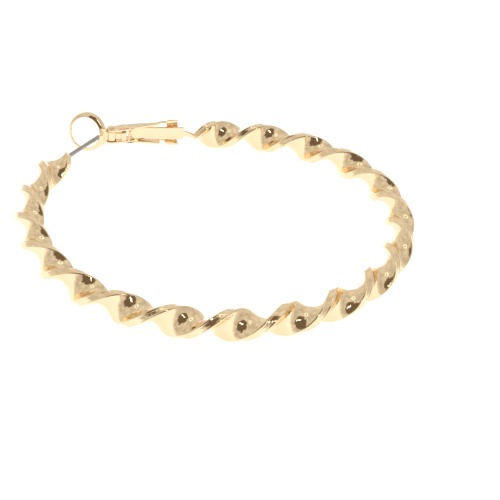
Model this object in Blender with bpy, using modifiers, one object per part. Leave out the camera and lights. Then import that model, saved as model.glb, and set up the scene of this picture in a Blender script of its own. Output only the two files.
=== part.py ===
"""Twisted hoop earring with a straight ear post and a ring-lever clip.

A flat strip is twisted along its length and bent into an open hoop. The post leaves the
front end, and a small sheet-metal frame at the back end carries the lever whose ring
takes the end of the post. The earring lies on its side, with the clip at the back left.
Sizes are in millimetres and degrees; the finished objects are in metres.
"""
from math import asin, atan2, ceil, cos, degrees, hypot, pi, radians, sin, sqrt

import bmesh
import bpy
from mathutils import Matrix, Quaternion, Vector

MM = 0.001

# Twisted hoop
HOOP_RADIUS = 27.8            # centre of the hoop to the middle of the strip
HOOP_GAP = 50.2               # angle left open at the ear
GAP_MIDDLE = 125.9            # middle of that opening, from +X towards +Y
OUT_OF_ROUND = 0.24           # added to the radius in three places
OUT_OF_ROUND_AT = 22.9        # the first of them, from +X
END_BEND = 30.0               # length over which each end leaves the hoop's plane
FRONT_END_RISE = 0.05
BACK_END_DROP = 1.16
STRIP_WIDTH = 4.4
STRIP_THICKNESS = 1.65
STRIP_CORNER = 0.3            # radius of the strip's four long edges
HALF_TURNS = 19.26            # half turns of the strip between its two ends
FRONT_TWIST = 111.5           # wide side at the front end, from outward towards +Z
TWIST_LEAD = 12.0             # extra twist at half way
SECTIONS_PER_HALF_TURN = 18
CORNER_STEPS = 2
SIDE_STEPS = 3                # facets across each wide side
FRONT_ROUNDING = 2.4          # length over which the front end closes in
FRONT_END_SCALE = 0.53        # section left at the front end's flat face
BACK_ROUNDING = 2.4           # length over which the back end closes in
BACK_END_SCALE = 0.5          # section left at the back end's flat face

# Ear post
POST_DIAMETER = 0.7
POST_SEAT_DEPTH = 2.2         # length hidden in the hoop's front end
POST_TIP_CHAMFER = 0.12
POST_SEAT_GAP = 0.05          # play around the post in its seat
POST_RING_GAP = 0.2           # clear of the ring's bore, measured across the ring
POST_INSERTION = 0.5          # how far the tip stands inside the ring
POST_TIP_DROP = 0.5           # tip below the ring's middle
POST_FOOT_RISE = 0.2          # foot above the middle of the hoop's front end

# Clip frame: x runs from the hoop's back end to the ring, y towards the hoop's middle
CLIP_TURN = -1.75             # frame's x from the strip's own direction at the end
CLIP_DROP = 0.7               # frame below the hoop's plane
SHEET = 0.4                   # thickness of the frame's metal
TONGUE_FACE = 0.25            # front face, inward of the strip's middle
TONGUE_WIDTH = 2.2
TONGUE_START = 1.65
TONGUE_LENGTH = 8.35
TONGUE_TIP_WIDTH = 0.6
TONGUE_TAPER = 0.5            # length over which the tongue narrows to its tip
NECK_WIDTH = 1.0              # at the tongue; it narrows to the tab
TAB_WIDTH = 0.5
TAB_SHOULDER = 0.15           # neck wider than the tab on each side
TAB_DEPTH = 1.5               # length of the tab hidden in the hoop's back end
TAB_GAP = 0.08
ARM_DEPTH = 1.75
ARM_ROOT = 4.5                # where the arms' full depth begins, past their folds
ARM_ROOT_INWARD = -0.55       # arms' middle at that place
ARM_BEND = 11.0               # where the arms turn parallel to each other
ARM_BEND_INWARD = 0.16        # arms' middle at that place
ARM_SPREAD = 4.8              # across the outer faces of both arms, at their folds
NOTCH_START = 4.75            # relief cut into each arm's front edge
NOTCH_LENGTH = 0.85
NOTCH_DEPTH = 1.2
FOLD_START = 2.6              # each arm's fold to the tongue
FOLD_LENGTH = 1.9
FOLD_BACK = -1.3              # back of the folds, inward of the strip's middle
FOLD_FRONT = -0.15            # front edge of the folded arm
EAR_RADIUS = 0.9
EAR_SPREAD = 2.55             # across the outer faces of both ears

# Lever
PIVOT_ALONG = 13.55           # hoop's back end to the hinge axis
PIVOT_INWARD = 0.8            # hinge axis inward of the strip's middle
RING_REACH = 4.1              # hinge axis to the ring's middle
RING_OUTER = 6.3
RING_BORE = 5.2
RING_DEPTH = 2.1
RING_FACE = 0.22              # front face of the ring, inward of the hinge axis
RING_EDGE = 0.14
SHOULDER_WIDTH = 3.1
SHOULDER_START = 0.97         # hinge axis to the shoulder, clear of the ears
SHOULDER_FRONT = 0.5          # front face, inward of the hinge axis
SHOULDER_THICKNESS = 0.75
HUB_RADIUS = 0.8
HUB_GAP = 0.06                # hub's ends to the ears
TAIL_REACH = 2.47             # hinge axis to the far end of the tail
TAIL_HEAD_LENGTH = 0.95
TAIL_HEAD_DEPTH = 1.35
TAIL_HEAD_GAP = 0.1           # head's sides to the arms
TAIL_WEB_WIDTH = 1.1
TAIL_WEB_THICKNESS = 0.9
TAIL_TONGUE_GAP = 0.15        # tail's end to the tongue's tip

# Hinge pin
PIN_DIAMETER = 0.6
PIN_PLAY = 0.05               # all round, in the ears and in the hub
PIN_PROUD = 0.06              # beyond each ear

ROUND_STEPS = 32
RING_STEPS = 56

FRONT_END = GAP_MIDDLE + HOOP_GAP / 2
BACK_END = GAP_MIDDLE + 360 - HOOP_GAP / 2

GOLD = (0.90, 0.66, 0.34, 1)
TITANIUM = (0.42, 0.40, 0.37, 1)


def clear_scene():
    """Removes the objects of the file that the script runs in."""
    for old in list(bpy.data.objects):
        bpy.data.objects.remove(old, do_unlink=True)


def new_collection(name):
    made = bpy.data.collections.new(name)
    bpy.context.scene.collection.children.link(made)
    return made


def material(name, colour, roughness):
    """Metal with one colour and roughness."""
    made = bpy.data.materials.new(name)
    made.use_nodes = True
    shader = made.node_tree.nodes["Principled BSDF"]
    shader.inputs["Base Color"].default_value = colour
    shader.inputs["Metallic"].default_value = 1.0
    shader.inputs["Roughness"].default_value = roughness
    return made


def place(obj, collection, parent=None, location=(0, 0, 0)):
    """Moves an object to its collection and under its parent, at a place in millimetres."""
    for owner in list(obj.users_collection):
        owner.objects.unlink(obj)
    collection.objects.link(obj)
    obj.parent = parent
    obj.location = Vector(location) * MM
    return obj


def empty(name, collection, parent=None, location=(0, 0, 0), turn=None):
    made = bpy.data.objects.new(name, None)
    made.empty_display_size = 3 * MM
    place(made, collection, parent, location)
    if turn is not None:
        made.rotation_mode = "QUATERNION"
        made.rotation_quaternion = turn
    return made


def mesh_object(name, builder):
    """Makes an object from a bmesh that builder fills in millimetres."""
    mesh = bpy.data.meshes.new(name)
    work = bmesh.new()
    builder(work)
    bmesh.ops.scale(work, vec=(MM, MM, MM), verts=work.verts)
    bmesh.ops.recalc_face_normals(work, faces=work.faces)
    work.to_mesh(mesh)
    work.free()
    return bpy.data.objects.new(name, mesh)


def rod(name, diameter, length, steps=ROUND_STEPS, axis="Z"):
    """Cylinder with its middle at the origin."""
    turn = {"X": Matrix.Rotation(pi / 2, 4, "Y"), "Y": Matrix.Rotation(pi / 2, 4, "X"),
            "Z": Matrix.Identity(4)}[axis]

    def build(work):
        bmesh.ops.create_cone(work, cap_ends=True, segments=steps, radius1=diameter / 2,
                              radius2=diameter / 2, depth=length, matrix=turn)
    return mesh_object(name, build)


def block(name, low, high):
    """Box between two corners."""
    low = Vector(low)
    high = Vector(high)

    def build(work):
        size = high - low
        move = Matrix.Translation((low + high) / 2) @ Matrix.Diagonal((*size, 1))
        bmesh.ops.create_cube(work, size=1, matrix=move)
    return mesh_object(name, build)


def plate(name, outline, thickness):
    """Flat closed outline in XY, given its thickness along Z, as a mesh."""
    data = bpy.data.curves.new(name, "CURVE")
    data.dimensions = "2D"
    data.fill_mode = "BOTH"
    data.extrude = thickness / 2 * MM
    line = data.splines.new("POLY")
    line.points.add(len(outline) - 1)
    for point, (x, y) in zip(line.points, outline):
        point.co = (x * MM, y * MM, 0, 1)
    line.use_cyclic_u = True
    return curve_to_mesh(bpy.data.objects.new(name + "_outline", data), name)


def curve_to_mesh(curve, name):
    """Turns a curve object into a closed mesh object of its own."""
    bpy.context.scene.collection.objects.link(curve)
    bpy.context.view_layer.update()
    shown = curve.evaluated_get(bpy.context.evaluated_depsgraph_get())
    mesh = bpy.data.meshes.new_from_object(shown)
    mesh.name = name
    data = curve.data
    bpy.data.objects.remove(curve, do_unlink=True)
    bpy.data.curves.remove(data)
    work = bmesh.new()
    work.from_mesh(mesh)
    bmesh.ops.remove_doubles(work, verts=work.verts, dist=0.001 * MM)
    bmesh.ops.recalc_face_normals(work, faces=work.faces)
    work.to_mesh(mesh)
    work.free()
    return bpy.data.objects.new(name, mesh)


def boolean(target, tool, operation, cutters):
    """Adds an exact Boolean to target; the tool goes in the cutters' collection."""
    if tool.name not in cutters.objects:
        place(tool, cutters, tool.parent, tool.location / MM)
    tool.hide_render = True
    tool.display_type = "WIRE"
    step = target.modifiers.new(operation.lower() + "_" + tool.name, "BOOLEAN")
    step.operation = operation
    step.solver = "EXACT"
    step.object = tool


def bevel(obj, width, segments=2, angle=30):
    step = obj.modifiers.new("rounded_edges", "BEVEL")
    step.width = width * MM
    step.segments = segments
    step.limit_method = "ANGLE"
    step.angle_limit = radians(angle)


def arc(centre, radius, start, stop, steps):
    """Points of an arc, angles in degrees, both ends included."""
    turns = [radians(start + (stop - start) * i / steps) for i in range(steps + 1)]
    return [(centre[0] + radius * cos(turn), centre[1] + radius * sin(turn)) for turn in turns]


def hoop_point(angle):
    """Middle of the strip at an angle from +X, the two ends bent out of the hoop's plane."""
    radius = HOOP_RADIUS + OUT_OF_ROUND * cos(radians(3 * (angle - OUT_OF_ROUND_AT)))
    front = max(0.0, 1 - radians(angle - FRONT_END) * HOOP_RADIUS / END_BEND)
    back = max(0.0, 1 - radians(BACK_END - angle) * HOOP_RADIUS / END_BEND)
    height = FRONT_END_RISE * front ** 2 - BACK_END_DROP * back ** 2
    return Vector((radius * cos(radians(angle)), radius * sin(radians(angle)), height))


def twist(angle):
    """Wide side of the strip in degrees, from outward towards +Z."""
    share = (angle - FRONT_END) / (BACK_END - FRONT_END)
    return FRONT_TWIST + 180 * HALF_TURNS * share + 4 * TWIST_LEAD * share * (1 - share)


def end_scale(distance, length, smallest):
    """Share of the full section at a distance from an end: a quarter ellipse."""
    left = max(0.0, 1 - distance / length)
    return smallest + (1 - smallest) * sqrt(1 - left * left)


def strip_outline():
    """Rounded rectangle of the strip's section, wide along X."""
    x = STRIP_WIDTH / 2 - STRIP_CORNER
    y = STRIP_THICKNESS / 2 - STRIP_CORNER
    wide = [x * (1 - 2 * i / SIDE_STEPS) for i in range(1, SIDE_STEPS)]
    right = [arc((x, y), STRIP_CORNER, 0, 90, CORNER_STEPS),
             [(across, STRIP_THICKNESS / 2) for across in wide],
             arc((-x, y), STRIP_CORNER, 90, 180, CORNER_STEPS)]
    half = [point for run in right for point in run]
    return half + [(-a, -b) for a, b in half]


def hoop_angles():
    """Places of the strip's sections, closer together where each end closes in."""
    span = BACK_END - FRONT_END
    count = ceil(HALF_TURNS * SECTIONS_PER_HALF_TURN)
    even = [FRONT_END + span * i / count for i in range(count + 1)]
    front_rounding = degrees(FRONT_ROUNDING / HOOP_RADIUS)
    back_rounding = degrees(BACK_ROUNDING / HOOP_RADIUS)
    shares = [0, 0.03, 0.1, 0.2, 0.35, 0.55, 0.78]
    front = [FRONT_END + front_rounding * share for share in shares]
    back = [BACK_END - back_rounding * share for share in reversed(shares)]
    middle = [a for a in even if FRONT_END + front_rounding < a < BACK_END - back_rounding]
    return front + middle + back


def twisted_hoop(collection, cutters, lying):
    """Strip swept round the hoop, its section turned and its ends closed in."""
    section = bpy.data.curves.new("strip_section", "CURVE")
    section.dimensions = "2D"
    outline = section.splines.new("POLY")
    points = strip_outline()
    outline.points.add(len(points) - 1)
    for point, (x, y) in zip(outline.points, points):
        point.co = (x * MM, y * MM, 0, 1)
    outline.use_cyclic_u = True
    profile = place(bpy.data.objects.new("strip_section", section), cutters)
    profile.hide_render = True

    path = bpy.data.curves.new("hoop_path", "CURVE")
    path.dimensions = "3D"
    path.twist_mode = "Z_UP"
    path.bevel_mode = "OBJECT"
    path.bevel_object = profile
    path.use_fill_caps = True
    line = path.splines.new("POLY")
    angles = hoop_angles()
    line.points.add(len(angles) - 1)
    for point, angle in zip(line.points, angles):
        point.co = (*(hoop_point(angle) * MM), 1)
        point.tilt = -radians(twist(angle))
        from_front = radians(angle - FRONT_END) * HOOP_RADIUS
        from_back = radians(BACK_END - angle) * HOOP_RADIUS
        point.radius = min(end_scale(from_front, FRONT_ROUNDING, FRONT_END_SCALE),
                           end_scale(from_back, BACK_ROUNDING, BACK_END_SCALE))
    hoop = curve_to_mesh(bpy.data.objects.new("hoop_path", path), "twisted_hoop")
    return place(hoop, collection, lying)


def ring_middle():
    """Middle of the ring, in the clip's own axes."""
    return Vector((PIVOT_ALONG + RING_REACH, PIVOT_INWARD + RING_FACE - RING_DEPTH / 2, 0))


def post_tip():
    """Post's end inside the ring, near the side of the neck, in the clip's own axes."""
    reach = RING_BORE / 2 - POST_DIAMETER / 2 - POST_RING_GAP
    along = PIVOT_ALONG + RING_REACH - sqrt(max(0.0, reach ** 2 - POST_TIP_DROP ** 2))
    return Vector((along, PIVOT_INWARD + RING_FACE - POST_INSERTION, -POST_TIP_DROP))


def clip_axes():
    """Clip's own axes in the hoop's: x along the strip's end, y towards the hoop's middle."""
    end = hoop_point(BACK_END)
    turn = Matrix.Rotation(radians(BACK_END + 90 + CLIP_TURN), 4, "Z")
    return Matrix.Translation((end.x, end.y, -CLIP_DROP)) @ turn


def ear_post(collection, cutters, lying, hoop):
    """Straight post from its seat in the hoop's front end to the ring's opening."""
    foot = hoop_point(FRONT_END) + Vector((0, 0, POST_FOOT_RISE))
    tip = clip_axes() @ post_tip()
    aim = (tip - foot).normalized()
    start = foot - aim * POST_SEAT_DEPTH
    length = (tip - start).length
    turn = aim.to_track_quat("Z", "Y")

    post = place(rod("ear_post", POST_DIAMETER, length, 16), collection, lying,
                 (start + tip) / 2)
    post.rotation_mode = "QUATERNION"
    post.rotation_quaternion = turn
    bevel(post, POST_TIP_CHAMFER)

    seat_start = start - aim * POST_SEAT_GAP
    seat_end = foot + aim * FRONT_ROUNDING
    seat = place(rod("post_seat", POST_DIAMETER + 2 * POST_SEAT_GAP,
                     (seat_end - seat_start).length, 16), cutters, lying,
                 (seat_start + seat_end) / 2)
    seat.rotation_mode = "QUATERNION"
    seat.rotation_quaternion = turn
    boolean(hoop, seat, "DIFFERENCE", cutters)
    return post


def tongue_outline():
    """Tab, neck, tongue and tip, seen from the hoop's middle: the tab lies lower."""
    drop = BACK_END_DROP - CLIP_DROP
    tab = TAB_WIDTH / 2
    step = tab + TAB_SHOULDER
    neck = NECK_WIDTH / 2
    wide = TONGUE_WIDTH / 2
    tip = TONGUE_TIP_WIDTH / 2
    shoulder = TONGUE_START + TONGUE_LENGTH
    end = PIVOT_ALONG - TAIL_REACH - TAIL_TONGUE_GAP
    edge = [(-TAB_DEPTH, tab, drop), (SHEET / 2, tab, drop), (SHEET / 2, step, drop),
            (TONGUE_START, neck, 0), (TONGUE_START, wide, 0), (shoulder, wide, 0),
            (shoulder + TONGUE_TAPER, tip, 0), (end, tip, 0)]
    upper = [(x, half - low) for x, half, low in edge]
    lower = [(x, -half - low) for x, half, low in reversed(edge)]
    return upper + lower


def fold_outline(side):
    """U-shaped fold that joins the tongue's edge to an arm, seen along x: (y, z)."""
    outer = ARM_SPREAD / 2
    edge = TONGUE_WIDTH / 2
    shape = [(TONGUE_FACE, edge - SHEET), (FOLD_BACK, edge - SHEET), (FOLD_BACK, outer),
             (FOLD_FRONT, outer), (FOLD_FRONT, outer - SHEET), (FOLD_BACK + SHEET, outer - SHEET),
             (FOLD_BACK + SHEET, edge), (TONGUE_FACE, edge)]
    return [(y, side * z) for y, z in shape]


def arm_outline():
    """One arm from its fold to the bend, seen from above: (x, y)."""
    slope = (ARM_BEND_INWARD - ARM_ROOT_INWARD) / (ARM_BEND - ARM_ROOT)

    def edge(x, side):
        return x, ARM_ROOT_INWARD + (x - ARM_ROOT) * slope + side * ARM_DEPTH / 2

    notch_end = NOTCH_START + NOTCH_LENGTH
    floor = edge(NOTCH_START, 1)[1] - NOTCH_DEPTH
    end = ARM_BEND + SHEET
    return [(FOLD_START, FOLD_FRONT), (FOLD_START, FOLD_BACK), (ARM_ROOT, FOLD_BACK),
            edge(ARM_ROOT + SHEET, -1), edge(end, -1), edge(end, 1), edge(notch_end, 1),
            (notch_end, floor), (NOTCH_START, floor), (NOTCH_START, FOLD_FRONT)]


def ear_outline():
    """One ear from the arm's bend to its round end, seen from above: (x, y)."""
    pivot = (PIVOT_ALONG, PIVOT_INWARD)
    half = ARM_DEPTH / 2
    start = ARM_BEND - SHEET
    return [(start, ARM_BEND_INWARD + half), (start, ARM_BEND_INWARD - half)] + arc(
        pivot, EAR_RADIUS, -105, 95, 16)


def clip_frame(collection, cutters, seat, hoop):
    """Sheet-metal frame: neck, tongue and two arms that end in the hinge's ears."""
    frame = plate("clip_frame", tongue_outline(), SHEET)
    place(frame, collection, seat, (0, TONGUE_FACE - SHEET / 2, 0))
    frame.rotation_euler = (radians(90), 0, 0)

    lean = atan2((ARM_SPREAD - EAR_SPREAD) / 2, ARM_BEND - FOLD_START)
    for side, label in ((1, "upper"), (-1, "lower")):
        arm = plate("arm_" + label, [(x - FOLD_START, y) for x, y in arm_outline()], SHEET)
        place(arm, cutters, seat, (FOLD_START, 0, side * (ARM_SPREAD - SHEET) / 2))
        arm.rotation_euler = (0, side * lean, 0)
        ear = plate("ear_" + label, ear_outline(), SHEET)
        place(ear, cutters, seat, (0, 0, side * (EAR_SPREAD - SHEET) / 2))
        fold = plate("fold_" + label, fold_outline(side), FOLD_LENGTH)
        place(fold, cutters, seat, (FOLD_START + FOLD_LENGTH / 2, 0, 0))
        fold.rotation_euler = (radians(90), 0, radians(90))
        boolean(frame, fold, "UNION", cutters)
        boolean(frame, arm, "UNION", cutters)
        boolean(frame, ear, "UNION", cutters)

    holes = rod("ear_holes", PIN_DIAMETER + 2 * PIN_PLAY, 2 * EAR_SPREAD)
    place(holes, cutters, seat, (PIVOT_ALONG, PIVOT_INWARD, 0))
    boolean(frame, holes, "DIFFERENCE", cutters)

    drop = BACK_END_DROP - CLIP_DROP
    slot = block("tab_slot",
                 (-TAB_DEPTH - TAB_GAP, TONGUE_FACE - SHEET - TAB_GAP,
                  -TAB_WIDTH / 2 - drop - TAB_GAP),
                 (TONGUE_START, TONGUE_FACE + TAB_GAP, TAB_WIDTH / 2 - drop + TAB_GAP))
    place(slot, cutters, seat)
    boolean(hoop, slot, "DIFFERENCE", cutters)
    return frame


def arm_face(along):
    """Outer face of an arm above the frame's middle, at a distance along the frame."""
    share = min(1.0, (along - FOLD_START) / (ARM_BEND - FOLD_START))
    return (ARM_SPREAD + (EAR_SPREAD - ARM_SPREAD) * share) / 2


def clip_lever(collection, cutters, hinge):
    """Ring, shoulder, hub and tail in one piece, with the hinge axis at its origin."""
    middle = RING_FACE - RING_DEPTH / 2
    lever = rod("clip_lever", RING_OUTER, RING_DEPTH, RING_STEPS, "Y")
    for vertex in lever.data.vertices:
        vertex.co += Vector((RING_REACH, middle, 0)) * MM
    place(lever, collection, hinge)
    bevel(lever, RING_EDGE, 2, 60)

    half = SHOULDER_WIDTH / 2
    shoulder_end = RING_REACH - sqrt((RING_OUTER / 2) ** 2 - half ** 2) + SHEET / 2
    shoulder = block("lever_shoulder", (SHOULDER_START, SHOULDER_FRONT - SHOULDER_THICKNESS, -half),
                     (shoulder_end, SHOULDER_FRONT, half))
    hub_half = EAR_SPREAD / 2 - SHEET - HUB_GAP
    hub = rod("lever_hub", 2 * HUB_RADIUS, 2 * hub_half)
    web = block("lever_web", (0, -TAIL_WEB_THICKNESS / 2, -hub_half),
                (RING_REACH - RING_BORE / 2 - RING_EDGE, TAIL_WEB_THICKNESS / 2, hub_half))
    tail = block("lever_tail",
                 (TAIL_HEAD_LENGTH / 2 - TAIL_REACH, -TAIL_WEB_THICKNESS / 2, -TAIL_WEB_WIDTH / 2),
                 (0, TAIL_WEB_THICKNESS / 2, TAIL_WEB_WIDTH / 2))
    head_half = arm_face(PIVOT_ALONG - TAIL_REACH + TAIL_HEAD_LENGTH) - SHEET - TAIL_HEAD_GAP
    head = block("lever_tail_head", (-TAIL_REACH - SHEET, -TAIL_HEAD_DEPTH / 2, -head_half),
                 (TAIL_HEAD_LENGTH - TAIL_REACH, TAIL_HEAD_DEPTH / 2, head_half))
    sweep = place(rod("tail_sweep", 2 * TAIL_REACH, 2 * STRIP_WIDTH, 2 * ROUND_STEPS), cutters,
                  hinge)
    boolean(head, sweep, "INTERSECT", cutters)
    for tool in (shoulder, web, hub, tail, head):
        place(tool, cutters, hinge)
        boolean(lever, tool, "UNION", cutters)

    bore = place(rod("ring_bore", RING_BORE, 2 * RING_DEPTH, RING_STEPS, "Y"), cutters, hinge,
                 (RING_REACH, middle, 0))
    boolean(lever, bore, "DIFFERENCE", cutters)
    pin_bore = place(rod("lever_pin_bore", PIN_DIAMETER + 2 * PIN_PLAY, 2 * EAR_SPREAD),
                     cutters, hinge)
    boolean(lever, pin_bore, "DIFFERENCE", cutters)
    return lever


def hinge_pin(collection, seat):
    """Plain pin through both ears and the lever's hub."""
    pin = rod("hinge_pin", PIN_DIAMETER, EAR_SPREAD + 2 * PIN_PROUD, 20)
    place(pin, collection, seat, (PIVOT_ALONG, PIVOT_INWARD, 0))
    bevel(pin, PIN_PROUD / 2, 1)
    return pin


def lying_pose():
    """Height and turn at which the ring and the hoop's far side both touch the surface."""
    ring = clip_axes() @ ring_middle()
    hoop_low = hypot(STRIP_WIDTH / 2 - STRIP_CORNER, STRIP_THICKNESS / 2 - STRIP_CORNER)
    hoop_low += STRIP_CORNER
    out = Vector((ring.x, ring.y, 0))
    tilt = asin((RING_OUTER / 2 - ring.z - hoop_low) / (out.length + HOOP_RADIUS))
    axis = Vector((out.y, -out.x, 0))
    return hoop_low + HOOP_RADIUS * sin(tilt), Quaternion(axis, tilt)


def build():
    clear_scene()
    parts = new_collection("twisted_hoop_earring")
    cutters = new_collection("cutters")
    gold = material("polished_gold", GOLD, 0.12)
    grey = material("grey_titanium", TITANIUM, 0.35)

    lift, turn = lying_pose()
    lying = empty("lying", parts, None, (0, 0, lift), turn)
    seat = empty("clip_seat", parts, lying, clip_axes().translation,
                 clip_axes().to_quaternion())
    hinge = empty("lever_hinge", parts, seat, (PIVOT_ALONG, PIVOT_INWARD, 0))

    hoop = twisted_hoop(parts, cutters, lying)
    post = ear_post(parts, cutters, lying, hoop)
    frame = clip_frame(parts, cutters, seat, hoop)
    lever = clip_lever(parts, cutters, hinge)
    pin = hinge_pin(parts, seat)
    for obj, look in ((hoop, gold), (post, grey), (frame, gold), (lever, gold), (pin, gold)):
        obj.data.materials.clear()
        obj.data.materials.append(look)
    bpy.context.view_layer.update()


build()
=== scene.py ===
"""Twisted hoop earring with a ring-lever clip, lying on a white surface in soft light.

A flat gold strip, twisted along its length, is bent into an open hoop. A grey post runs
from its front end to the ring of the clip's lever. Sizes are millimetres and degrees.
"""
from math import asin, cos, degrees, exp, radians, sin, sqrt

import bpy
from mathutils import Matrix, Quaternion, Vector

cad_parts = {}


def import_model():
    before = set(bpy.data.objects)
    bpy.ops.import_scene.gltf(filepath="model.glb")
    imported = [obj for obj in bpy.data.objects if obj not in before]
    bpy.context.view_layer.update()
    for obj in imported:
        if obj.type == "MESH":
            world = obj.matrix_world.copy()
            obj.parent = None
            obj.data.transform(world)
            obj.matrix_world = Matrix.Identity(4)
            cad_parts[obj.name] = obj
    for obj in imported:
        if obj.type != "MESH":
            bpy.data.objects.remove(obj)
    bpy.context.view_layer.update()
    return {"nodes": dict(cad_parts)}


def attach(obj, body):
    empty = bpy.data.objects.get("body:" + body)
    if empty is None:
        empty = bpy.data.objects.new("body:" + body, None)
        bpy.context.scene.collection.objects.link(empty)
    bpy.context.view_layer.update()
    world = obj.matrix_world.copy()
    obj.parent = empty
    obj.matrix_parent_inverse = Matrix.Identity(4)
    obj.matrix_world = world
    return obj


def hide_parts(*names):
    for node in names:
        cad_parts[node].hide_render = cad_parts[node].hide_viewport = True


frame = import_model()

MM = 0.001
SAME_PLACE = 0.001            # points closer than this are one

# Twisted hoop
HOOP_RADIUS = 27.8            # to the middle of the strip
HOOP_GAP = 50.2               # angle left open between the ends
GAP_MIDDLE = 125.9            # from +X
OUT_OF_ROUND = 0.24           # height of three slight bulges
OUT_OF_ROUND_AT = 22.9        # angle of the first bulge
END_BEND = 30.0               # length of each end that bends out of the hoop's plane
FRONT_END_RISE = 0.05
BACK_END_DROP = 1.16
STRIP_WIDTH = 4.4
STRIP_THICKNESS = 1.65
STRIP_CORNER = 0.3
HALF_TURNS = 19.26
FRONT_TWIST = 111.5           # turn of the strip at the front end
TWIST_LEAD = 12.0             # how far the twist runs ahead halfway round
END_ROUNDING = 2.4            # length over which an end narrows
FRONT_END_SCALE = 0.53        # size of the very end as a share of the full section
BACK_END_SCALE = 0.5
SIDE_CROWN = 0.025            # how far the middle of a narrow side stands out
GROOVE_DEPTH = 0.025          # two fine grooves along each narrow side
GROOVE_AT = 0.66              # share of the narrow side's half width
GROOVE_WIDTH = 0.13
CORNER_STEPS = 5
WIDE_SIDE_CUTS = 7
NARROW_SIDE_CUTS = 13
HOOP_STEPS = 930
END_STEPS = 14
FRONT_END = GAP_MIDDLE + HOOP_GAP / 2
BACK_END = GAP_MIDDLE + 360 - HOOP_GAP / 2
LYING_HEIGHT = 2.98971        # of the hoop's middle
LYING_TURN = (0.018969, 0.017567)   # tilt about X and about Y, as sines

# Clip, in its own axes: x along it from the hoop's back end, y towards the hoop's middle
CLIP_TURN = -1.75             # from the hoop's direction at its back end
CLIP_DROP = 0.7               # below the hoop's plane
PIVOT_ALONG = 13.55
PIVOT_INWARD = 0.8

# Lever, from its pivot; a block is given by two opposite corners
HUB_RADIUS = 0.8
HUB_WIDTH = 1.63
HUB_EDGE = 0.12
PIN_BORE = 0.7
PIN_BORE_LENGTH = 6.0
RING_MIDDLE = (4.08, -0.6, 0.2)
RING_RADIUS = 2.88            # to the middle of its wall
RING_WALL = 0.58
RING_DEPTH = 1.3
RING_FLARE = 12.0             # the wall widens to the back
RING_YAW = -26.0              # the ring faces along the post
RING_PITCH = 16.0
RING_STEPS = 96
# Its section's corners: outer or inner, front or back, rounding, steps, profile
RING_CORNERS = (
    (1, 1, 0.47, 8, 0.32),
    (1, -1, 0.14, 2, 0.5),
    (-1, 1, 0.1, 3, 0.5),
    (-1, -1, 0.1, 2, 0.5),
)
SHOULDER = ((0.97, -0.25, -1.55), (1.9, 0.75, 1.55))
SHOULDER_EDGE = 0.14
WEB = ((0.0, -0.45, -0.8), (1.36, 0.45, 0.8))
TAIL = ((-2.0, -0.45, -0.55), (0.0, 0.45, 0.55))
LEVER_EDGE = 0.08
TAIL_HEAD = ((-2.42, -0.67, -0.775), (-1.52, 0.67, 0.775))
TAIL_HEAD_EDGE = 0.16

# Frame of the clip
SHEET_EDGE = 0.11             # rounding of the frame's edges
SHEET_EDGE_STEPS = 4
SMALL_STEP = 0.06             # steps in the frame too small to round are closed
SHEET_MIDDLE = 0.05           # middle of the tongue's thickness
TONGUE_SIDE = 1.1             # half the tongue's width
ARM_INNER = (2.3, -0.134)     # inner face of the upper arm: height at x = 0, change with x
ARM_FRONT = 0.33              # where across the arm the lean starts from
ARM_CUTS = (5.3, 6.4, 7.5, 8.6, 9.7, 10.8, 11.9)
ARM_LEAN = 0.3                # how much the upper arm leans back, away from the hinge
NECK_LENGTH = 1.6
NECK_SWELL = 1.5              # thickness of the neck over the sheet's

ROD_EDGE = 0.05               # rounding of the ends of the post and the pin
ROD_SIDES = 48

# Faces that meet at less than this are one flat face
FLAT_ANGLE = 2
FRAME_FLAT_ANGLE = 4
# Edges sharper than this stay sharp in the shading
STRIP_SHARP_ANGLE = 50
CLIP_SHARP_ANGLE = 35

# Metals: colours and roughnesses of their lightest and deepest patches, height of the
# slow waves and fine ripples in the surface
GOLD = {"light": (0.96, 0.75, 0.46), "deep": (0.93, 0.69, 0.40),
        "polish": 0.02, "rough": 0.06, "wave": 0.05, "ripple": 0.008}
GREY = {"light": (0.50, 0.46, 0.40), "deep": (0.40, 0.36, 0.31),
        "polish": 0.30, "rough": 0.45, "wave": 0.03, "ripple": 0.01}
PATCH_SCALE = 260.0           # patches, waves, ripples and grain in a metre
WAVE_SCALE = 650.0
RIPPLE_SCALE = 3200.0
GRAIN_SCALE = 9000.0
NOISE_SPAN = (0.3, 0.7)       # where most of a noise's values lie

# Camera
FILM_BACK = 36
CAMERA_PLACE = (7.66, -195.441, 116.539)
CAMERA_TURN = (58.6181, -2.866, 2.3693)
CAMERA_LENS = 108.52
CAMERA_SEES = (10.0, 20000.0)    # nearest and furthest distance

# Light tent round the earring
TENT_LIGHT = 0.70
TENT_CHANGE = 0.16            # how much the tent's cloth varies
TENT_SLOPE = 0.08             # brighter towards +Y
HORIZON_LIGHT = 0.92
HORIZON_HEIGHT = 6.0
DARK = (0.18, 0.14, 0.106)
WINDOW_LIGHT = 6.0
LAMP_LIGHT = 1.5
# Oval patches of the tent: azimuth from +Y towards +X, height, half its width, half its
# height, softness of its border as a share
DARK_SIDE = (171, 54, 34, 30, 0.05)
WINDOW = (150, 50, 3.6, 14, 0.15)
LAMP = (5, 75, 10.5, 10.5, 0.12)
LAMP_EYE = (5, 75, 4.5, 4.5, 0.3)   # the lamp's dark middle
CLOTH_SCALE = 3.0             # unevenness of the tent's cloth
COARSE_SCALE = 2.6            # noise that bends the borders of the dark side and window
COARSE_TEAR = 0.2             # how far it bends them
FINE_SCALE = 14.0
FINE_TEAR = 0.13

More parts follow.
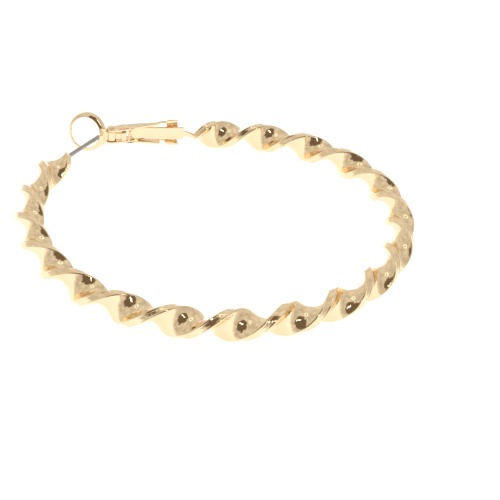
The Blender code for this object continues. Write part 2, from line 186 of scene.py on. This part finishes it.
# Floor: a painted pool of light, a glow in the floor's own material that is brightest round the
# earring and fades with the distance
FLOOR_SIZE = 4000.0
FLOOR_GAP = 0.03              # under the earring
FLOOR_COLOUR = (0.9, 0.9, 0.9)
FLOOR_ROUGHNESS = 0.9
FLOOR_GLOW = 0.66
FLOOR_FADE = 0.34             # share of the glow that is left outside the pool
# tint of the painted glow
GLOW_COLOUR = (0.93, 1.06, 1.28)
POOL_RADIUS = 60.0
POOL_EDGE = 320.0


def deselect():
    bpy.ops.object.select_all(action="DESELECT")


def pick(piece):
    """Selects one piece and nothing else."""
    deselect()
    piece.select_set(True)
    bpy.context.view_layer.objects.active = piece


def pick_points(piece, wanted):
    """Goes to edit mode with the points selected whose place passes wanted."""
    bpy.ops.object.mode_set(mode="EDIT")
    bpy.ops.mesh.select_mode(type="VERT")
    bpy.ops.mesh.select_all(action="DESELECT")
    bpy.ops.object.mode_set(mode="OBJECT")
    for vertex in piece.data.vertices:
        vertex.select = wanted(vertex.co)
    bpy.ops.object.mode_set(mode="EDIT")


def rectangle(name, width, height):
    """Flat rectangle round the origin."""
    deselect()
    bpy.ops.mesh.primitive_plane_add(size=1)
    made = bpy.context.object
    made.name = name
    made.scale = (width, height, 1)
    bpy.ops.object.transform_apply(location=True, rotation=True, scale=True)
    return made


def lying():
    """Turn and height at which the earring lies on the surface."""
    axis = Vector((*LYING_TURN, 0))
    turn = Quaternion(axis, asin(axis.length)).to_matrix().to_4x4()
    return Matrix.Translation((0, 0, LYING_HEIGHT * MM)) @ turn


def hoop_point(angle):
    """Middle of the strip at an angle from +X, the two ends bent out of the hoop's plane."""
    radius = HOOP_RADIUS + OUT_OF_ROUND * cos(radians(3 * (angle - OUT_OF_ROUND_AT)))
    front = max(0.0, 1 - radians(angle - FRONT_END) * HOOP_RADIUS / END_BEND)
    back = max(0.0, 1 - radians(BACK_END - angle) * HOOP_RADIUS / END_BEND)
    height = FRONT_END_RISE * front ** 2 - BACK_END_DROP * back ** 2
    return Vector((radius * cos(radians(angle)), radius * sin(radians(angle)), height))


def twist(angle):
    """Wide side of the strip in degrees, from outward towards +Z."""
    share = (angle - FRONT_END) / (BACK_END - FRONT_END)
    return FRONT_TWIST + 180 * HALF_TURNS * share + 4 * TWIST_LEAD * share * (1 - share)


def end_scale(distance, smallest):
    """Share of the full section at a distance from an end: a quarter ellipse."""
    left = max(0.0, 1 - distance / END_ROUNDING)
    return smallest + (1 - smallest) * sqrt(1 - left * left)


def hoop_line():
    """Middle line of the strip with its turn and size at each place, for the sweep."""
    span = BACK_END - FRONT_END
    edge = degrees(END_ROUNDING / HOOP_RADIUS) / span
    even = [i / HOOP_STEPS for i in range(HOOP_STEPS + 1)]
    fine = [edge * (i / END_STEPS) ** 2 for i in range(END_STEPS)]
    shares = {s for s in even if edge <= s <= 1 - edge}
    shares.update(fine)
    shares.update(1 - s for s in fine)
    for share in sorted(shares):
        angle = FRONT_END + span * share
        from_front = radians(angle - FRONT_END) * HOOP_RADIUS
        from_back = radians(BACK_END - angle) * HOOP_RADIUS
        size = min(end_scale(from_front, FRONT_END_SCALE),
                   end_scale(from_back, BACK_END_SCALE))
        yield hoop_point(angle), -radians(twist(angle)), size


def cut_side(section, wanted, cuts):
    """Cuts the section's edges whose two ends pass wanted into shorter ones."""
    bpy.ops.object.mode_set(mode="EDIT")
    bpy.ops.mesh.select_all(action="DESELECT")
    bpy.ops.object.mode_set(mode="OBJECT")
    mesh = section.data
    for edge in mesh.edges:
        edge.select = wanted(*(mesh.vertices[i].co for i in edge.vertices))
    bpy.ops.object.mode_set(mode="EDIT")
    bpy.ops.mesh.select_mode(type="EDGE")
    bpy.ops.mesh.subdivide(number_cuts=cuts)
    bpy.ops.object.mode_set(mode="OBJECT")


def channel(share):
    """Height of the narrow side over a flat one, at a share of its half width."""
    crown = SIDE_CROWN * (1 - share * share)
    return crown - GROOVE_DEPTH * exp(-((abs(share) - GROOVE_AT) / GROOVE_WIDTH) ** 2)


def shape_narrow_sides(section):
    """Gives both narrow sides their low crown and two fine grooves."""
    half = STRIP_THICKNESS / 2 - STRIP_CORNER
    heights = (vertex.co.y / MM for vertex in section.data.vertices)
    levels = sorted({round(height, 4) for height in heights if abs(height) < half})
    for level in levels:
        pick_points(section, lambda place: abs(place.y / MM - level) < SAME_PLACE)
        wider = 1 + channel(level / half) / (STRIP_WIDTH / 2)
        bpy.ops.transform.resize(value=(wider, 1, 1), center_override=(0, 0, 0))
        bpy.ops.object.mode_set(mode="OBJECT")


def strip_section():
    """Section of the strip: a rounded bar, wide along X."""
    section = rectangle("strip_section", STRIP_WIDTH * MM, STRIP_THICKNESS * MM)
    bpy.ops.object.mode_set(mode="EDIT")
    bpy.ops.mesh.select_all(action="SELECT")
    bpy.ops.mesh.bevel(offset=STRIP_CORNER * MM, segments=CORNER_STEPS, affect="VERTICES",
                       clamp_overlap=False)
    bpy.ops.mesh.delete(type="ONLY_FACE")
    bpy.ops.object.mode_set(mode="OBJECT")
    cut_side(section, lambda a, b: abs(a.x - b.x) > STRIP_WIDTH / 2 * MM, WIDE_SIDE_CUTS)
    cut_side(section, lambda a, b: abs(a.y - b.y) > STRIP_THICKNESS / 2 * MM, NARROW_SIDE_CUTS)
    shape_narrow_sides(section)
    bpy.ops.object.convert(target="CURVE")
    return bpy.context.object


def swept_strip():
    """The whole twisted hoop, its section carried along its middle line."""
    section = strip_section()
    deselect()
    bpy.ops.curve.primitive_nurbs_path_add()
    path = bpy.context.object
    path.name = "twisted_strip"
    data = path.data
    data.splines.clear()
    line = data.splines.new("POLY")
    points = list(hoop_line())
    line.points.add(len(points) - 1)
    for point, (place, turn, size) in zip(line.points, points):
        point.co = (*(place * MM), 1)
        point.tilt = turn
        point.radius = size
    data.twist_mode = "Z_UP"
    data.bevel_mode = "OBJECT"
    data.bevel_object = section
    data.use_fill_caps = True
    bpy.ops.object.convert(target="MESH")
    hoop = bpy.context.object
    bpy.data.objects.remove(section)
    bpy.ops.object.mode_set(mode="EDIT")
    bpy.ops.mesh.select_all(action="SELECT")
    bpy.ops.mesh.remove_doubles(threshold=SAME_PLACE * MM)
    bpy.ops.mesh.normals_make_consistent(inside=False)
    bpy.ops.object.mode_set(mode="OBJECT")
    return hoop


def finish_piece(piece, look, body, node, sharp=CLIP_SHARP_ANGLE):
    """Smooths a piece, gives it its material and puts it in place of its CAD node."""
    pick(piece)
    bpy.ops.object.shade_smooth_by_angle(angle=radians(sharp))
    piece.data.materials.clear()
    piece.data.materials.append(look)
    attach(piece, body)
    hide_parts(node)


def twisted_hoop(gold):
    """Smooth twisted strip in place of the plain one."""
    hoop = swept_strip()
    hoop.data.transform(lying())
    finish_piece(hoop, gold, "hoop", "twisted_hoop", STRIP_SHARP_ANGLE)


def clip_place():
    """Clip's own axes, in millimetres, as it lies in the scene, in metres."""
    end = hoop_point(BACK_END)
    turn = Matrix.Rotation(radians(BACK_END + 90 + CLIP_TURN), 4, "Z")
    return lying() @ Matrix.Scale(MM, 4) @ Matrix.Translation((end.x, end.y, -CLIP_DROP)) @ turn


def hinge_place():
    """Lever's own axes, round the hinge pin."""
    return clip_place() @ Matrix.Translation((PIVOT_ALONG, PIVOT_INWARD, 0))


def ring_place():
    """Middle and turn of the ring in the lever's axes."""
    return (Matrix.Translation(RING_MIDDLE) @ Matrix.Rotation(radians(RING_YAW), 4, "Z")
            @ Matrix.Rotation(radians(RING_PITCH), 4, "X"))


def soften(piece, width, segments=3, angle=30):
    """Rounds the piece's edges that are sharper than an angle."""
    rounding = piece.modifiers.new("edges", "BEVEL")
    rounding.width = width
    rounding.segments = segments
    rounding.limit_method = "ANGLE"
    rounding.angle_limit = radians(angle)
    rounding.use_clamp_overlap = False
    pick(piece)
    bpy.ops.object.modifier_apply(modifier="edges")
    return piece


def block(name, corners, edge):
    """Block between two corners with rounded edges."""
    low, high = (Vector(corner) for corner in corners)
    deselect()
    bpy.ops.mesh.primitive_cube_add(size=1, location=(low + high) / 2)
    made = bpy.context.object
    made.name = name
    made.scale = high - low
    bpy.ops.object.transform_apply(location=True, rotation=True, scale=True)
    return soften(made, edge)


def rod(name, radius, length):
    """Upright rod round the origin."""
    deselect()
    bpy.ops.mesh.primitive_cylinder_add(vertices=ROD_SIDES, radius=radius, depth=length)
    made = bpy.context.object
    made.name = name
    return made


def lever_ring():
    """Ring of the lever: its section, rounded most at the outer front, spun round its axis."""
    ring = rectangle("lever_ring", RING_WALL, RING_DEPTH)
    for outer, front, rounding, steps, profile in RING_CORNERS:
        corner = Vector((outer * RING_WALL / 2, front * RING_DEPTH / 2, 0))
        pick_points(ring, lambda place: (place - corner).length < SAME_PLACE)
        bpy.ops.mesh.bevel(offset=rounding, segments=steps, profile=profile, affect="VERTICES",
                           clamp_overlap=False)
        bpy.ops.object.mode_set(mode="OBJECT")
    ring.data.transform(Matrix.Translation((RING_RADIUS, 0, 0))
                        @ Matrix.Rotation(radians(RING_FLARE), 4, "Z"))
    bpy.ops.object.mode_set(mode="EDIT")
    bpy.ops.mesh.select_all(action="SELECT")
    bpy.ops.mesh.delete(type="ONLY_FACE")
    bpy.ops.mesh.select_all(action="SELECT")
    bpy.ops.mesh.spin(steps=RING_STEPS, angle=radians(360), center=(0, 0, 0), axis=(0, 1, 0))
    bpy.ops.mesh.select_all(action="SELECT")
    bpy.ops.mesh.remove_doubles(threshold=SAME_PLACE)
    bpy.ops.mesh.normals_make_consistent(inside=False)
    bpy.ops.object.mode_set(mode="OBJECT")
    ring.data.transform(ring_place())
    return ring


def cut(piece, tool, operation):
    """Joins the tool to the piece or takes it away, and removes the tool."""
    change = piece.modifiers.new("cut", "BOOLEAN")
    change.operation = operation
    change.solver = "EXACT"
    change.object = tool
    pick(piece)
    bpy.ops.object.modifier_apply(modifier="cut")
    bpy.data.objects.remove(tool)


def clip_lever(gold):
    """Lever: ring, shoulder, web, hub and tail in one casting, round the hinge pin."""
    lever = lever_ring()
    ring_bore = rod("ring_bore", RING_RADIUS, 3 * RING_DEPTH)
    ring_bore.data.transform(ring_place() @ Matrix.Rotation(radians(90), 4, "X"))
    shoulder = block("lever_shoulder", SHOULDER, SHOULDER_EDGE)
    cut(shoulder, ring_bore, "DIFFERENCE")
    hub = soften(rod("lever_hub", HUB_RADIUS, HUB_WIDTH), HUB_EDGE, angle=60)
    for tool in (shoulder, block("lever_web", WEB, LEVER_EDGE), hub,
                 block("lever_tail", TAIL, LEVER_EDGE),
                 block("lever_tail_head", TAIL_HEAD, TAIL_HEAD_EDGE)):
        cut(lever, tool, "UNION")
    cut(lever, rod("pin_bore", PIN_BORE / 2, PIN_BORE_LENGTH), "DIFFERENCE")
    lever.name = "ring_lever"
    lever.data.transform(hinge_place())
    finish_piece(lever, gold, "lever", "clip_lever")


def merged_copy(node, name):
    """Copy of a CAD node with its loose triangles merged into flat faces."""
    piece = bpy.data.objects.new(name, frame["nodes"][node].data.copy())
    bpy.context.scene.collection.objects.link(piece)
    pick(piece)
    bpy.ops.object.mode_set(mode="EDIT")
    bpy.ops.mesh.select_all(action="SELECT")
    bpy.ops.mesh.remove_doubles(threshold=SAME_PLACE * MM)
    bpy.ops.mesh.dissolve_limited(angle_limit=radians(FLAT_ANGLE))
    bpy.ops.object.mode_set(mode="OBJECT")
    return piece


def softened_copy(node, name, look):
    """Piece of the hoop's body with a CAD node's shape and rounded ends."""
    piece = soften(merged_copy(node, name), ROD_EDGE * MM)
    finish_piece(piece, look, "hoop", node)


def clip_frame(gold):
    """Sheet-metal frame with a swollen neck, its upper arm leaning back towards its root."""
    piece = merged_copy("clip_frame", "sheet_frame")
    place = clip_place()
    piece.data.transform(place.inverted())
    bpy.ops.object.mode_set(mode="EDIT")
    bpy.ops.mesh.select_all(action="SELECT")
    bpy.ops.mesh.remove_doubles(threshold=SMALL_STEP)
    bpy.ops.mesh.dissolve_limited(angle_limit=radians(FRAME_FLAT_ANGLE))
    for along in ARM_CUTS:
        bpy.ops.mesh.select_all(action="SELECT")
        bpy.ops.mesh.bisect(plane_co=(along, 0, 0), plane_no=(1, 0, 0))
    bpy.ops.mesh.select_all(action="DESELECT")
    bpy.ops.object.mode_set(mode="OBJECT")
    for vertex in piece.data.vertices:
        x, y, z = vertex.co
        if z > ARM_INNER[0] + ARM_INNER[1] * x and x < ARM_CUTS[-1]:
            share = min(1.0, (ARM_CUTS[-1] - x) / (ARM_CUTS[-1] - ARM_CUTS[1]))
            vertex.co.z -= ARM_LEAN * share * (ARM_FRONT - y)
        if 0 < x < NECK_LENGTH and abs(z) < TONGUE_SIDE:
            vertex.co.y = SHEET_MIDDLE + NECK_SWELL * (y - SHEET_MIDDLE)
    soften(piece, SHEET_EDGE, SHEET_EDGE_STEPS)
    piece.data.transform(place)
    finish_piece(piece, gold, "hoop", "clip_frame")


def fill(tree, socket, value):
    """Links a socket to another node's output, or gives it a value."""
    if isinstance(value, bpy.types.NodeSocket):
        tree.links.new(value, socket)
    else:
        socket.default_value = value


def add(tree, kind, inputs=None, **options):
    """New node with its options set and its inputs filled by name or number."""
    node = tree.nodes.new(kind)
    for option, value in options.items():
        setattr(node, option, value)
    for name, value in (inputs or {}).items():
        fill(tree, node.inputs[name], value)
    return node


def noise(tree, place, scale, detail):
    return add(tree, "ShaderNodeTexNoise", {"Vector": place, "Scale": scale, "Detail": detail})


def maths(tree, operation, *values):
    """Result of a Math node."""
    return add(tree, "ShaderNodeMath", dict(enumerate(values)), operation=operation).outputs[0]


def vector_maths(tree, operation, *values):
    """Result of a Vector Math node: a number for a dot product or a length."""
    node = add(tree, "ShaderNodeVectorMath", dict(enumerate(values)), operation=operation)
    return node.outputs["Value" if operation in {"DOT_PRODUCT", "LENGTH"} else "Vector"]


def spread(tree, value, span, results=(0.0, 1.0), curve="LINEAR"):
    """First of results where value is at the first end of span, second at the second."""
    return add(tree, "ShaderNodeMapRange",
               {"Value": value, "From Min": span[0], "From Max": span[1],
                "To Min": results[0], "To Max": results[1]},
               interpolation_type=curve).outputs[0]


def surface_detail():
    """Node group: slow waves, fine ripples and patches of a polished metal, from a place."""
    group = bpy.data.node_groups.new("metal_surface", "ShaderNodeTree")
    for name, way, kind in (("Place", "INPUT", "NodeSocketVector"),
                            ("Wave", "INPUT", "NodeSocketFloat"),
                            ("Ripple", "INPUT", "NodeSocketFloat"),
                            ("Patches", "OUTPUT", "NodeSocketFloat"),
                            ("Grain", "OUTPUT", "NodeSocketFloat"),
                            ("Normal", "OUTPUT", "NodeSocketVector")):
        group.interface.new_socket(name, in_out=way, socket_type=kind)
    entry = add(group, "NodeGroupInput").outputs
    waves = noise(group, entry["Place"], WAVE_SCALE, 1.0).outputs[0]
    ripples = noise(group, entry["Place"], RIPPLE_SCALE, 2.0).outputs[0]
    slow = add(group, "ShaderNodeBump", {"Strength": 1.0, "Distance": entry["Wave"],
                                         "Height": waves})
    fine = add(group, "ShaderNodeBump", {"Strength": 1.0, "Distance": entry["Ripple"],
                                         "Height": ripples, "Normal": slow.outputs[0]})
    add(group, "NodeGroupOutput", {
        "Patches": noise(group, entry["Place"], PATCH_SCALE, 3.0).outputs[0],
        "Grain": noise(group, entry["Place"], GRAIN_SCALE, 2.0).outputs[0],
        "Normal": fine.outputs[0]})
    return group


def metal(name, detail, light, deep, polish, rough, wave, ripple):
    """Metal between two colours and two roughnesses, in patches, with a wavy surface."""
    made = bpy.data.materials.new(name)
    made.use_nodes = True
    tree = made.node_tree
    place = add(tree, "ShaderNodeTexCoord").outputs["Object"]
    surface = add(tree, "ShaderNodeGroup", {"Place": place, "Wave": wave * MM,
                                            "Ripple": ripple * MM}, node_tree=detail).outputs
    colour = add(tree, "ShaderNodeMix", {"Factor": surface["Patches"], "A": (*light, 1),
                                         "B": (*deep, 1)}, data_type="RGBA")
    shader = tree.nodes["Principled BSDF"].inputs
    fill(tree, shader["Base Color"], colour.outputs["Result"])
    fill(tree, shader["Roughness"], spread(tree, surface["Grain"], NOISE_SPAN, (polish, rough)))
    fill(tree, shader["Normal"], surface["Normal"])
    fill(tree, shader["Metallic"], 1.0)
    return made


def floor():
    """White surface under the earring with a painted pool of light: it glows most round the
    earring.
    """
    deselect()
    bpy.ops.mesh.primitive_plane_add(size=FLOOR_SIZE * MM, location=(0, 0, -FLOOR_GAP * MM))
    ground = bpy.context.object
    ground.name = "floor"
    made = bpy.data.materials.new("pale_floor_painted_glow")
    made.use_nodes = True
    tree = made.node_tree
    place = add(tree, "ShaderNodeTexCoord").outputs["Object"]
    # painted light: the floor glows, most within the pool round the earring and less further out
    glow = spread(tree, vector_maths(tree, "LENGTH", place), (POOL_RADIUS * MM, POOL_EDGE * MM),
                  (FLOOR_GLOW, FLOOR_FADE * FLOOR_GLOW), "SMOOTHSTEP")
    shader = tree.nodes["Principled BSDF"].inputs
    fill(tree, shader["Base Color"], (*FLOOR_COLOUR, 1))
    fill(tree, shader["Roughness"], FLOOR_ROUGHNESS)
    fill(tree, shader["Emission Color"], (*GLOW_COLOUR, 1))
    fill(tree, shader["Emission Strength"], glow)
    ground.data.materials.append(made)


def camera():
    """Camera at the photograph's place and angle."""
    data = bpy.data.cameras.new("camera")
    data.sensor_width = FILM_BACK
    data.lens = CAMERA_LENS
    data.clip_start, data.clip_end = (distance * MM for distance in CAMERA_SEES)
    view = bpy.data.objects.new("camera", data)
    view.location = Vector(CAMERA_PLACE) * MM
    view.rotation_euler = [radians(angle) for angle in CAMERA_TURN]
    bpy.context.scene.collection.objects.link(view)
    bpy.context.scene.camera = view


def towards(azimuth, height):
    """Direction of a place on the tent."""
    flat = cos(radians(height))
    return Vector((sin(radians(azimuth)) * flat, cos(radians(azimuth)) * flat,
                   sin(radians(height))))


def tent_patch(tree, ray, patch):
    """1 inside an oval patch of the tent, 0 outside."""
    azimuth, height, wide, tall, soft = patch
    side = towards(azimuth + 90, 0) / sin(radians(wide))
    up = towards(azimuth, height + 90) / sin(radians(tall))
    across = vector_maths(tree, "DOT_PRODUCT", ray, side)
    along = vector_maths(tree, "DOT_PRODUCT", ray, up)
    facing = vector_maths(tree, "DOT_PRODUCT", ray, towards(azimuth, height))
    behind = maths(tree, "LESS_THAN", facing, 0.0)
    spot = add(tree, "ShaderNodeCombineXYZ", {"X": across, "Y": along, "Z": behind}).outputs[0]
    away = maths(tree, "ADD", vector_maths(tree, "LENGTH", spot), behind)
    return spread(tree, away, (1 + soft, 1 - soft), curve="SMOOTHSTEP")


def torn(tree, ray, scale, amount):
    """Direction bent by noise, so that a border through it comes out uneven."""
    bend = noise(tree, ray, scale, 1.0).outputs["Color"]
    shift = vector_maths(tree, "SUBTRACT", bend, (0.5, 0.5, 0.5))
    step = add(tree, "ShaderNodeVectorMath", {0: shift, "Scale": 2 * amount}, operation="SCALE")
    moved = vector_maths(tree, "ADD", ray, step.outputs[0])
    return vector_maths(tree, "NORMALIZE", moved)


def cover(tree, mask, under, over):
    """Colour over where mask is 1 and colour under where it is 0."""
    return add(tree, "ShaderNodeMix", {"Factor": mask, "A": under, "B": (*over, 1)},
               data_type="RGBA").outputs["Result"]


def world():
    """Pale tent with a bright horizon, its dark side with a window, and the lamp."""
    sky = bpy.data.worlds.new("light_tent")
    bpy.context.scene.world = sky
    sky.use_nodes = True
    tree = sky.node_tree
    ray = add(tree, "ShaderNodeTexCoord").outputs["Generated"]
    bent = torn(tree, torn(tree, ray, COARSE_SCALE, COARSE_TEAR), FINE_SCALE, FINE_TEAR)
    parts = add(tree, "ShaderNodeSeparateXYZ", {"Vector": bent}).outputs
    cloth = spread(tree, noise(tree, ray, CLOTH_SCALE, 2.0).outputs[0], NOISE_SPAN,
                   (TENT_LIGHT - TENT_CHANGE, TENT_LIGHT + TENT_CHANGE))
    light = maths(tree, "MULTIPLY_ADD", parts["Y"], TENT_SLOPE, cloth)
    shade = add(tree, "ShaderNodeCombineColor", {0: light, 1: light, 2: light}).outputs[0]
    horizon = spread(tree, parts["Z"], (sin(radians(2 * HORIZON_HEIGHT)), 0.0), curve="SMOOTHSTEP")
    shade = cover(tree, horizon, shade, [HORIZON_LIGHT] * 3)
    shade = cover(tree, tent_patch(tree, bent, DARK_SIDE), shade, DARK)
    shade = cover(tree, tent_patch(tree, bent, WINDOW), shade, [WINDOW_LIGHT] * 3)
    shade = cover(tree, tent_patch(tree, ray, LAMP), shade, [LAMP_LIGHT] * 3)
    shade = cover(tree, tent_patch(tree, ray, LAMP_EYE), shade, DARK)
    tree.links.new(shade, tree.nodes["Background"].inputs["Color"])


bpy.context.scene.view_settings.view_transform = "Standard"
camera()
world()
floor()
detail = surface_detail()
gold = metal("polished_gold", detail, **GOLD)
grey = metal("grey_titanium", detail, **GREY)
twisted_hoop(gold)
clip_lever(gold)
clip_frame(gold)
softened_copy("ear_post", "grey_post", grey)
softened_copy("hinge_pin", "clip_pin", gold)
